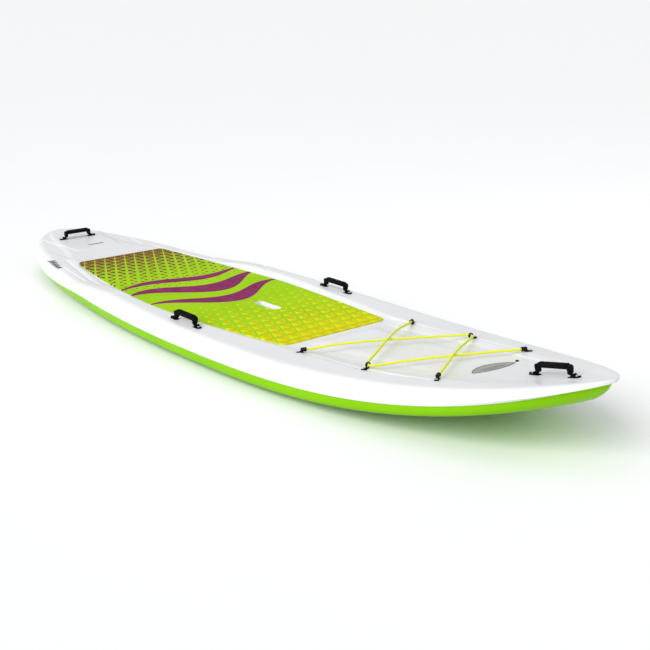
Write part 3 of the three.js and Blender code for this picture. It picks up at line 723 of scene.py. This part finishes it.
def deck_section(x):
    """One closed ring of the deck skin: the outside from rail to rail, and the inside back."""
    points = deck_points(x)
    w = half_width(x)
    sides = []
    for (y0, _), (y1, _), count in zip(points, points[1:], DECK_SPANS):
        sides += steps(y0, y1, count)[:-1]
    sides.append(points[-1][0])
    top = [(x, y, skin_height(points, x, y)) for y in sides]
    crown_z = top[-1][2]
    seam_x = x * (1 - SEAM_RAKE)
    seam = seam_line(x)
    half = top + rail_points(x, sides[-1], crown_z)
    half += [(mix(x, seam_x, 0.6), w - 0.2, mix(seam, crown_z, 0.12)), (seam_x, max(0, w - 1.5), seam)]
    share = max(0.05, (w - HOLLOW_INSET) / w) if w > 0 else 0
    short = 1 - (SKIN + 3) / HALF_LENGTH
    half.append((seam_x * short, max(0, w - HOLLOW_INSET), seam))
    for y, z in reversed(points):
        half.append((x * short, y * share, max(seam, z - SKIN - PLATFORM["drop"] - 2)))
    return half + [(px, -py, pz) for px, py, pz in half[-2:0:-1]]


def hull_section(x, inset=0):
    """Half of the hull's section from the seam down to the middle of the bottom."""
    half = max(0, half_width(x) - LIP - inset)
    seam = seam_line(x)
    depth = seam - bottom_line(x)
    rake = HULL_RAKE[end_of(x > 0)]
    section = []
    for down in steps(0, 1, HULL_STEPS):
        y = half * cos(asin(down ** 2.5)) ** 0.4
        px = x * (1 - mix(SEAM_RAKE, rake, down ** 2)) * (1 - inset / HALF_LENGTH)
        section.append((px, y, seam - SEAM_GAP - down * (depth - SEAM_GAP - inset)))
    return section


def build_deck():
    deck = make("deck_shell", *loft([deck_section(x) for x in stations()], capped=False))
    boolean(deck, make("cup_cutter", *prism(grip_outline(3.3), -60, 60), CUP_PLACE))
    dress(deck, WHITE, "deck_white", "deck_skin")


def build_hull():
    rings = []
    for x in stations():
        half = hull_section(x) + hull_section(x, SKIN)[::-1]
        rings.append(half + [(px, -py, pz) for px, py, pz in half[::-1]])
    hull = make("hull_shell", *loft(rings, capped=False))
    boolean(hull, make("fin_cutter", *prism(grown(FIN_BOX, 8, 0.3), -20, 40), fin_frame()))
    dress(hull, GREEN, "hull_green", "hull_skin")


# ---- Pad and grip cup ----
CUP_PLACE = at(GRIP_CUP["x"], GRIP_CUP["y"], 0)


def grip_outline(grow):
    return grown(GRIP_CUP, GRIP_CUP["corner"], grow, 12)


def pad_corners(end_x, corner_x, first, last):
    """Places and half widths round the pad's corners at one end, from one share of the curve to another."""
    start = pad_half_width(end_x)
    curve = []
    for t in steps(first, last, 10):
        y = (1 - t) ** 2 * (start - PAD_CORNER) + 2 * t * (1 - t) * start + t * t * pad_half_width(corner_x)
        curve.append((mix(end_x, corner_x, t * t), y))
    return curve


def pad_edge():
    """Places and half widths along the pad's outline from aft to fore, with round corners."""
    aft, fore = PAD_AFT_X + PAD_CORNER, PAD_FRONT_X - PAD_CORNER
    sides = [(x, pad_half_width(x)) for x in steps(aft, fore, 110)[1:-1]]
    return pad_corners(PAD_AFT_X, aft, 0, 1) + sides + pad_corners(PAD_FRONT_X, fore, 1, 0)


def pad_ring(x, half, drop):
    """One ring across the pad, with its top edge rounded and the whole top lowered by a drop."""
    low = deck_line(x) + PAD_LIFT
    high = low + PAD_THICKNESS - drop
    edge = [(half, low), (half, high - PAD_EDGE), (half - 0.5 * PAD_EDGE, high - 0.5 * PAD_EDGE),
            (half - PAD_EDGE, high)]
    top = [(y, high) for y in steps(half - PAD_EDGE, PAD_EDGE - half, 24)[1:-1]]
    mirrored = [(-y, z) for y, z in edge[::-1]]
    under = [(y, low) for y in steps(-half, half, 6)[1:-1]]
    return [(x, y, z) for y, z in edge + top + mirrored + under]


def build_pad():
    edge = pad_edge()
    round_edge = 0.5 * PAD_EDGE
    ends = [[pad_ring(x, half, PAD_EDGE), pad_ring(x + inward * round_edge, half + 8, round_edge)]
            for (x, half), inward in ((edge[0], 1), (edge[-1], -1))]
    inside = [(x, half) for x, half in edge if PAD_AFT_X + PAD_EDGE < x < PAD_FRONT_X - PAD_EDGE]
    rings = ends[0] + [pad_ring(x, half, 0) for x, half in inside] + ends[1][::-1]
    pad = make("deck_pad", *loft(rings))
    boolean(pad, make("pad_cutter", *prism(grip_outline(4), -60, 60), CUP_PLACE))
    dress(pad, PRINT, "pad_lime", "traction_pad")


def build_grip_cup():
    """The recessed grip: a lip level with the pad, straight walls and a rounded floor."""
    rim = deck_height(GRIP_CUP["x"] - GRIP_CUP["length"], 0) - 0.2
    floor = rim - GRIP_CUP["depth"]
    wall = GRIP_CUP["wall"]
    lip = rim + PAD_THICKNESS - 0.4
    inner = [(-6, floor + wall), (-3, floor + wall + 0.8), (-1, floor + wall + 3), (0, floor + wall + 7),
             (0, lip - 1.6), (0.5, lip - 0.5), (1.6, lip), (3.2, lip), (3.8, lip - 0.6)]
    outer = [(3.8, rim), (wall, rim - 0.1), (wall, floor + 5), (wall - 3, floor)]
    cup = make("grip_cup_liner", *stacked(grip_outline, inner + outer), CUP_PLACE)
    dress(cup, CUP_WHITE, "deck_white", "centre_grip_cup")


# ---- Screws ----
def build_screw(name, place, x, z, size, node):
    """A pan-head screw with a cross recess, its head on the given height."""
    head_r, head, shank_r, length = size
    tip = z - length
    profile = [(0, tip), (shank_r * 0.3, tip), (shank_r, tip + 3), (shank_r, z), (head_r, z)]
    profile += [(head_r * cos(a), z + head * (0.35 + 0.65 * sin(a))) for a in steps(0, pi / 2, 6)[:-1]]
    local = place @ at(x, 0, 0)
    screw = make(name, *turned([*profile, (0, z + head)], 32), local)
    arm = rounded_rectangle(head_r * 1.15, head_r * 0.26, head_r * 0.1, 3)
    for turn in (0, pi / 2):
        recess = prism(arm, z + head * 0.35, z + head + 2)
        boolean(screw, make("recess_cutter", *recess, local @ turned_by(turn + 0.4, "Z")))
    dress(screw, STEEL, "steel", node)


# ---- Handles ----
def strap_path():
    """The middle of the band from one pivot over the top to the other, as (x, z, width, thickness)."""
    leg = HALF_SPAN - BAND / 2
    radius = SHOULDER_R - BAND / 2
    top = HANDLE_TOP - BAND / 2
    side = [(leg, z) for z in steps(HINGE_Z - 0.4, top - radius, 12)]
    arc = [(leg - radius + radius * cos(a), top - radius + radius * sin(a)) for a in steps(0, pi / 2, 8)[1:]]
    half = side + arc
    middle = [(x, top) for x in steps(leg - radius, radius - leg, 12)[1:-1]]
    path = half + middle + [(-x, z) for x, z in half[::-1]]
    rows = []
    for x, z in path:
        swell = LEG_SWELL * smooth(z, 7, 12)
        on_top = smooth(HALF_SPAN - abs(x), BAND / 2, SHOULDER_R)
        inward = swell / 2 * (1 - on_top) * (1 if x > 0 else -1)
        width = mix(NECK_WIDTH, BAND_WIDTH, smooth(z, 7.5, 13)) + FLARE * smooth(z, 18, 26)
        rows.append((x - inward, z - swell / 2 * on_top, width, BAND + swell))
    return rows


def band_ring(path, i):
    """A rounded section across the band's path, leaning with it."""
    x, z, width, thickness = path[i]
    before, after = path[max(0, i - 1)], path[min(len(path) - 1, i + 1)]
    run = Vector((after[0] - before[0], after[1] - before[1])).normalized()
    outline = rounded_rectangle(thickness, width, min(1.4, thickness / 2 - 0.1), 4)
    return [(x - run.y * u, v, z + run.x * u) for u, v in outline]


def build_strap(name, place):
    path = strap_path()
    strap = make(f"{name}_handle_loop", *loft([band_ring(path, i) for i in range(len(path))]), place)
    reach = BARREL_LENGTH
    profile = [(0, 0), (BARREL_R - 0.6, 0), (BARREL_R, 0.6), (BARREL_R, reach - 0.8),
               (BARREL_R - 0.8, reach), (0, reach)]
    for side in (1, -1):
        hinge = at(side * (HALF_SPAN - BAND), 0, HINGE_Z) @ turned_by(side * pi / 2, "Y")
        boolean(strap, make("barrel", *turned(profile, 24), place @ hinge), "UNION")
    dress(strap, RUBBER, "black_rubber", f"{name}_handle_band", body=f"{name}_handle")


def build_sleeve(name, place):
    """The grip: a rounded bar with slanted ribs over its length and a smooth collar at each end."""
    length, width, height = SLEEVE
    centre = HANDLE_TOP - BAND / 2
    sides = 40
    rings = []
    for x in steps(-length / 2, length / 2, 12 * RIBS):
        to_end = length / 2 - abs(x)
        collar = 1 - smooth(to_end, 4, 7)
        end = mix(0.82, 1, (1 - clamp01(1 - to_end / 2.5) ** 2) ** 0.5)
        ring = []
        for k in range(sides):
            angle = tau * k / sides
            slant = RIB_SLANT * sin(angle)
            wave = 0.5 + 0.5 * cos(tau * RIBS * (x + slant) / length)
            depth = RIB_DEPTH * (1 - collar) * (1 - wave ** 0.6)
            stretch = (abs(cos(angle)) ** SQUARENESS + abs(sin(angle)) ** SQUARENESS) ** (-1 / SQUARENESS)
            y = (width / 2 - depth) * stretch * cos(angle)
            z = (height / 2 - depth) * stretch * sin(angle)
            ring.append((x, y * end, centre + z * end))
        rings.append(ring)
    sleeve = make(f"{name}_handle_sleeve", *loft(rings), place, radians(60))
    dress(sleeve, RUBBER, "black_rubber", f"{name}_handle_grip", body=f"{name}_handle")


def shoe_height(along):
    """Height of the foot's top: a round heel over the pivot, a low tongue and an upturned tip."""
    heel = SHOE["heel"] * (1 - 0.16 * clamp01(1 - along / 2) ** 2)
    fall = mix(heel, SHOE["tongue"], smooth(along, 7, 9.5))
    return fall + 2.6 * smooth(along, SHOE["length"] - 6, SHOE["length"])


def saddle():
    """The foot's low saddle, which runs on under the leg of the loop."""
    rings = []
    for along, share in ((-SADDLE, 0.4), (1 - SADDLE, 0.72), (4 - SADDLE, 0.94), (8 - SADDLE, 1), (1, 1)):
        half = share * SHOE["width"] / 2
        rings.append(both_sides(SHOE["start"] + along, [(-half, -1), (-half, 0), (0.6 - half, 0.3)]))
    return loft(rings)


def shoe_loft():
    """The foot's body along its length, with a rounded top edge and a nose that narrows and lifts."""
    length = SHOE["length"]
    rings = []
    nose_steps = [length - 6 + 6 * sin(a) for a in steps(0, pi / 2, 8)[1:]]
    for along in [0, 0.4, 1, 2, *steps(3, length - 6, 22), *nose_steps]:
        nose = clamp01((along - length + 8) / 8)
        half = SHOE["width"] / 2 * (1 - 0.55 * nose ** 2.4)
        top = shoe_height(along)
        under = -1.2 + 2.2 * smooth(along, length - 4, length)
        edge = min(1.6, (top - under) * 0.3)
        half_here = half * (1 - 0.06 * clamp01(1 - along))
        side = [(half_here, under), (half_here, top - edge)]
        for a in steps(0, pi / 2, 4)[1:]:
            side.append((half_here - edge * (1 - cos(a)), top - edge + edge * sin(a)))
        rings.append(both_sides(SHOE["start"] + along, side))
    return loft(rings)


def build_shoe(name, end, place, turn):
    """A handle's foot: its body and saddle, with a bore for the loop's barrel and a hole for the screw."""
    start = SHOE["start"]
    local = place @ turned_by(turn, "Z")
    shoe = make(f"{name}_handle_shoe_{end}", *shoe_loft(), local)
    boolean(shoe, make("saddle", *saddle(), local), "UNION")
    reach = HALF_SPAN - BAND + BARREL_LENGTH + 0.8 - start + 1
    bore_r = BARREL_R + 0.35
    bore = turned([(0, 0), (bore_r, 0), (bore_r, reach), (0, reach)], 24)
    boolean(shoe, make("bore_cutter", *bore, local @ at(start - 1, 0, HINGE_Z) @ turned_by(pi / 2, "Y")))
    hole = turned([(0, -5), (2.8, -5), (2.8, 10), (0, 10)], 20)
    boolean(shoe, make("hole_cutter", *hole, local @ at(SHOE_SCREW_X, 0, 0)))
    dress(shoe, RUBBER, "black_rubber", f"{name}_handle_foot_{end}")
    build_screw(f"{name}_handle_bolt_{end}", local, SHOE_SCREW_X, SHOE["tongue"] + SCREW_LIFT, HANDLE_SCREW,
                f"{name}_handle_screw_{end}")


def build_handles():
    for name, x, y, turn in HANDLES:
        place = deck_frame(x, y, turn, SHOE_SCREW_X)
        build_strap(name, place)
        build_sleeve(name, place)
        build_shoe(name, "fore", place, 0)
        build_shoe(name, "aft", place, pi)


# ---- Cord fittings ----
def tab_shape():
    """The flat tab under a fitting, with a rounded top edge. It reaches just into the deck."""
    def outline(grow):
        return [(x - TAB["screw_x"] / 2 - 1, y) for x, y in grown(TAB, 5, grow)]
    top = TAB["height"]
    return stacked(outline, [(0, -1), (0, top - 0.8), (-0.25, top - 0.25), (-0.8, top)])


def socket_barrel():
    """A barrel along the cord with a collar at its mouth and a blind bore, as a turned profile."""
    profile = [(0, -5), (5, -5), (6.3, -4.4), (6.9, -3.2), (6.9, 8.6), (7.5, 9.4), (7.5, 13.2), (6.8, 14),
               (5.1, 14), (4.6, 13.2), (4.6, -1), (0, -1)]
    return turned(profile, 32)


def web_outline(grow):
    """The web between a socket's tab and its barrel."""
    return [(x - 3, y) for x, y in rounded_rectangle(9 + grow, 7 + grow, 2)]


def eye_ring():
    """The turning eye: a ring with rounded edges and a smooth throat."""
    return turned_ring([(8.3 - 1.5 * cos(a), 4 * sin(a)) for a in steps(0, tau, 20)[:-1]], 48)


def build_fittings():
    along_cord = at(0, 0, CORD_AXIS_Z) @ turned_by(pi / 2, "Y")
    across = at(4, 0, CORD_AXIS_Z + 1) @ turned_by(pi / 2, "X")
    for side_name, side in (("port", 1), ("starboard", -1)):
        for name, x, y, lead in FITTINGS:
            place = deck_frame(x, side * y, side * radians(lead))
            fitting = make(f"{side_name}_cord_{name}_body", *tab_shape(), place)
            if name == "middle_eye":
                ring = make("ring", *eye_ring(), place @ across)
            else:
                ring = make("ring", *socket_barrel(), place @ along_cord)
                web = stacked(web_outline, [(2, 1), (0, 4.5), (-0.5, 7)])
                boolean(fitting, make("web", *web, place), "UNION")
            boolean(fitting, ring, "UNION")
            dress(fitting, PLASTIC, "black_plastic", f"{side_name}_cord_{name}")
            build_screw(f"{side_name}_{name}_bolt", place, -TAB["screw_x"], TAB["height"] + SCREW_LIFT,
                        TAB_SCREW, f"{side_name}_{name}_screw")


# ---- Bungee cords ----
CORD_SIDES = 20
CORD_STEP = 4  # rings along a cord are this far apart


def spline(points):
    """A smooth curve through the points, with its tangents set by the points' spacing."""
    ends = [points[0] * 2 - points[1], *points, points[-1] * 2 - points[-2]]
    curve = []
    for p0, p1, p2, p3 in zip(ends, ends[1:], ends[2:], ends[3:]):
        d0, d1, d2 = [(b - a).length ** 0.5 for a, b in ((p0, p1), (p1, p2), (p2, p3))]
        start = (p1 - p0) / d0 - (p2 - p0) / (d0 + d1) + (p2 - p1) / d1
        end = (p2 - p1) / d1 - (p3 - p1) / (d1 + d2) + (p3 - p2) / d2
        count = max(2, round((p2 - p1).length / CORD_STEP))
        for i in range(count):
            t = i / count
            h = (2 * t**3 - 3 * t**2 + 1, t**3 - 2 * t**2 + t, -2 * t**3 + 3 * t**2, t**3 - t**2)
            curve.append(p1 * h[0] + start * d1 * h[1] + p2 * h[2] + end * d1 * h[3])
    return [*curve, points[-1]]


def cord_mesh(name, curve):
    """A tube round a curve, carrying a map of turns round the cord and millimetres along it."""
    rings = []
    distances = [0]
    side = Vector((0, 0, 1))
    for i, point in enumerate(curve):
        run = (curve[min(i + 1, len(curve) - 1)] - curve[max(i - 1, 0)]).normalized()
        side = (side - run * side.dot(run)).normalized()
        other = run.cross(side)
        angles = steps(0, tau, CORD_SIDES)[:-1]
        rings.append([point + (side * cos(a) + other * sin(a)) * CORD_R for a in angles])
        if i:
            distances.append(distances[-1] + (point - curve[i - 1]).length)
    obj = make(name, *loft(rings))
    layer = obj.data.uv_layers.new(name="UVMap")
    for face in obj.data.polygons:
        rows = [v // CORD_SIDES for v in face.vertices]
        columns = [v % CORD_SIDES for v in face.vertices]
        wraps = max(columns) - min(columns) > 1
        for corner, row, column in zip(face.loop_indices, rows, columns):
            turn = column + CORD_SIDES if wraps and column == 0 else column
            layer.data[corner].uv = (turn / CORD_SIDES, distances[row])
    return obj, distances[-1]


def build_cords():
    for name, mirror, column in (("a", 1, 2), ("b", -1, 3)):
        route = [Vector((p[0], mirror * p[1], p[column])) for p in LACING]
        curve = spline(route)
        obj, length = cord_mesh(f"bungee_{name}", curve)
        dress(obj, BRAID, "bungee", f"bungee_cord_{name}")


# ---- Badge, marks and vent ----
def lens(grow):
    """The badge's outline: pointed at both ends, fuller on its aft edge than on its fore edge."""
    half = BADGE["length"] / 2 + grow
    rim = []
    for way, edge in ((1, -BADGE["fore"] - grow), (-1, BADGE["aft"] + grow)):
        rim += [(way * t * half, edge * max(0, 1 - t * t) ** 0.8) for t in steps(-1, 1, 40)[:-1]]
    return rim


def build_badge():
    """A raised rim round a slightly sunken plate, with a plain pattern of wave lines on the plate."""
    place = deck_frame(BADGE["x"], BADGE["y"], radians(BADGE["turn"]))
    badge = make("bow_badge_plate", *stacked(lens, [(-1, -1.2), (-1, 0.6), (-9, 0.8)]), place, radians(25))
    dress(badge, SATIN, "chrome_badge", "bow_badge")
    profile = [(0, -1), (0, 0.8), (-0.6, 1.4), (-2.4, 1.4), (-3, 0.8), (-3, -1)]
    rim = loft([[(x, y, z) for x, y in lens(grow)] for grow, z in profile], capped=False, closed=True)
    dress(make("bow_badge_rim", *rim, place), GREY, "mark_grey")
    for i, offset in enumerate((-3, 5, 13)):
        half = 52 - 9 * abs(i - 1)
        rings = []
        for x in steps(-half, half, 60):
            y = offset + 2.2 * sin(x / 9)
            wide = 1.1 * (1 - (abs(x) / half) ** 3) + 0.15
            side = ((-wide, 0.45), (-wide * 0.6, 1.2), (wide * 0.6, 1.2), (wide, 0.45))
            rings.append([(x, y + across, z) for across, z in side])
        dress(make(f"badge_wave_{i + 1}", *loft(rings), place), GREY, "mark_grey")


def build_marks():
    """The strip on the tail, and thin slanted bars that lie on the deck of the starboard quarter."""
    place = deck_frame(TAIL_MARK["x"], TAIL_MARK["y"], pi / 2)
    profile = [(0, -0.8), (0, 0.4), (-0.4, 0.9)]
    strip = make("tail_strip", *stacked(lambda grow: grown(TAIL_MARK, 3, grow), profile), place)
    dress(strip, GREY, "mark_grey", "tail_mark")
    bars = QUARTER_BARS
    for i in range(5):
        x = bars["x"] + bars["pitch"] * i
        y = bars["y"] - bars["drift"] * i
        low_x = x - bars["slant"]
        low_y = y - bars["length"] + 3 * i
        outline = [(x, y), (x + bars["width"], y), (low_x + bars["width"], low_y), (low_x, low_y)]
        low = [(px, py, deck_height(px, py) + relief(px, py) - 0.3) for px, py in outline]
        high = [(px, py, pz + 0.65) for px, py, pz in low]
        dress(make(f"quarter_bar_{i + 1}", *loft([low, high])), GREY, "mark_grey")


def build_vent():
    place = deck_frame(VENT["x"], VENT["y"])
    section = [(3.8, -24), (7, -24), (7, -1.3), (9, -1), (9, 0.5), (8.5, 1), (6.4, 1), (3.8, 0.9)]
    seat = turned_ring(section, 48)
    dress(make("vent_seat_ring", *seat, place), CUP_WHITE, "deck_white", "vent_seat")
    seal = turned_ring([(3.8, 1.3), (5.4, 1.3), (5.6, 1.8), (5.4, 2.3), (3.8, 2.3)], 48)
    dress(make("vent_seal_ring", *seal, place), RUBBER, "black_rubber", "vent_seal")
    head = 2.6
    profile = [(0, -18), (2.6, -18), (3.5, -17), (3.5, head), (5.2, head), (5.5, head + 0.4),
               (5.5, head + 2), (4.9, head + 2.8), (4.3, head + 3), (0, head + 3)]
    plug = make("vent_plug_cap", *turned(profile, 48), place)
    slot = prism(rounded_rectangle(8.2, 1.6, 0.4, 3), head + 1.4, head + 5)
    boolean(plug, make("slot_cutter", *slot, place))
    dress(plug, PLASTIC, "black_plastic", "vent_plug", body="vent_plug")


# ---- Fin box ----
def fin_frame():
    """A frame on the line of the bottom, in the middle of the fin box."""
    ends = [FIN_BOX["x"] + end * FIN_BOX["length"] / 2 for end in (-1, 1)]
    aft, fore = [bottom_line(x / (1 - HULL_RAKE["stern"])) for x in ends]
    return at(FIN_BOX["x"], 0, (aft + fore) / 2) @ turned_by(atan((aft - fore) / FIN_BOX["length"]), "Y")


def build_fin_box():
    """A moulded box with a flange flush with the hull and a long slot that opens downwards."""
    depth = FIN_BOX["depth"]
    slot = rounded_rectangle(FIN_BOX["slot_length"], FIN_BOX["slot_width"], 3, 6)
    mouth = [(x * 1.004, y * 1.12) for x, y in slot]
    block = grown(FIN_BOX, 8, 0, 6)
    levels = [(slot, depth - 4), (slot, 1), (mouth, 0), (block, 0), (block, depth)]
    rings = [[(x, y, z) for x, y in outline] for outline, z in levels]
    box = make("fin_box_shell", *loft(rings), fin_frame())
    dress(box, PLASTIC, "black_plastic", "fin_box")


# ---- Camera, light and floor ----
def build_camera():
    azimuth, elevation = radians(CAMERA["azimuth"]), radians(CAMERA["elevation"])
    back = Vector((sin(azimuth) * cos(elevation), -cos(azimuth) * cos(elevation), sin(elevation)))
    data = bpy.data.cameras.new("camera")
    data.lens = CAMERA["lens"]
    data.sensor_width = 36
    data.shift_x, data.shift_y = CAMERA["shift"]
    data.clip_end = 100
    camera = add_object("camera", data)
    camera.location = Vector(CAMERA["target"]) + back * CAMERA["distance"]
    camera.rotation_euler = back.to_track_quat("Z", "Y").to_euler()
    bpy.context.scene.camera = camera


def add_light(name, kind, location, power, size=None):
    """A soft light that shines from a place towards the middle of the floor. A sun is even over the floor."""
    data = bpy.data.lights.new(name, kind)
    data.energy = power
    if size:
        data.shape = "RECTANGLE"
        data.size, data.size_y = size
    else:
        data.angle = radians(50)
    light = add_object(name, data)
    light.location = location
    light.rotation_euler = Vector(location).to_track_quat("Z", "Y").to_euler()


def build_studio():
    floor_mesh = bpy.data.meshes.new("floor")
    corners = [(FLOOR_REACH * x, FLOOR_REACH * y, 0) for x, y in ((-1, -1), (1, -1), (1, 1), (-1, 1))]
    floor_mesh.from_pydata(corners, [], [(0, 1, 2, 3)])
    floor_mesh.materials.append(floor_material())
    add_object("floor", floor_mesh)
    add_light("key", "SUN", (0.4, -5, 3.5), 2.5)
    add_light("overhead", "AREA", (-0.6, -0.2, 4.8), 14, (4.2, 2.2))
    add_light("rim", "AREA", (2.5, 3.6, 2.6), 18, (3.5, 1.6))
    world = bpy.data.worlds.new("studio")
    world.use_nodes = True
    background = world.node_tree.nodes["Background"]
    background.inputs["Color"].default_value = (0.97, 0.985, 1, 1)
    background.inputs["Strength"].default_value = 0.56
    bpy.context.scene.world = world
    bpy.context.scene.view_settings.view_transform = "Standard"


# ---- The whole board ----
def dress_hidden_nodes():
    """The core and the blocks under the handles keep their CAD shapes."""
    for name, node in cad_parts.items():
        for part, material in (("foam_core", FOAM), ("handle_block", NYLON)):
            if part in name:
                for slot in node.material_slots:
                    slot.material = material


build_camera()
build_cords()
build_deck()
build_hull()
build_pad()
build_grip_cup()
build_handles()
build_fittings()
build_badge()
build_marks()
build_vent()
build_fin_box()
dress_hidden_nodes()
build_studio()
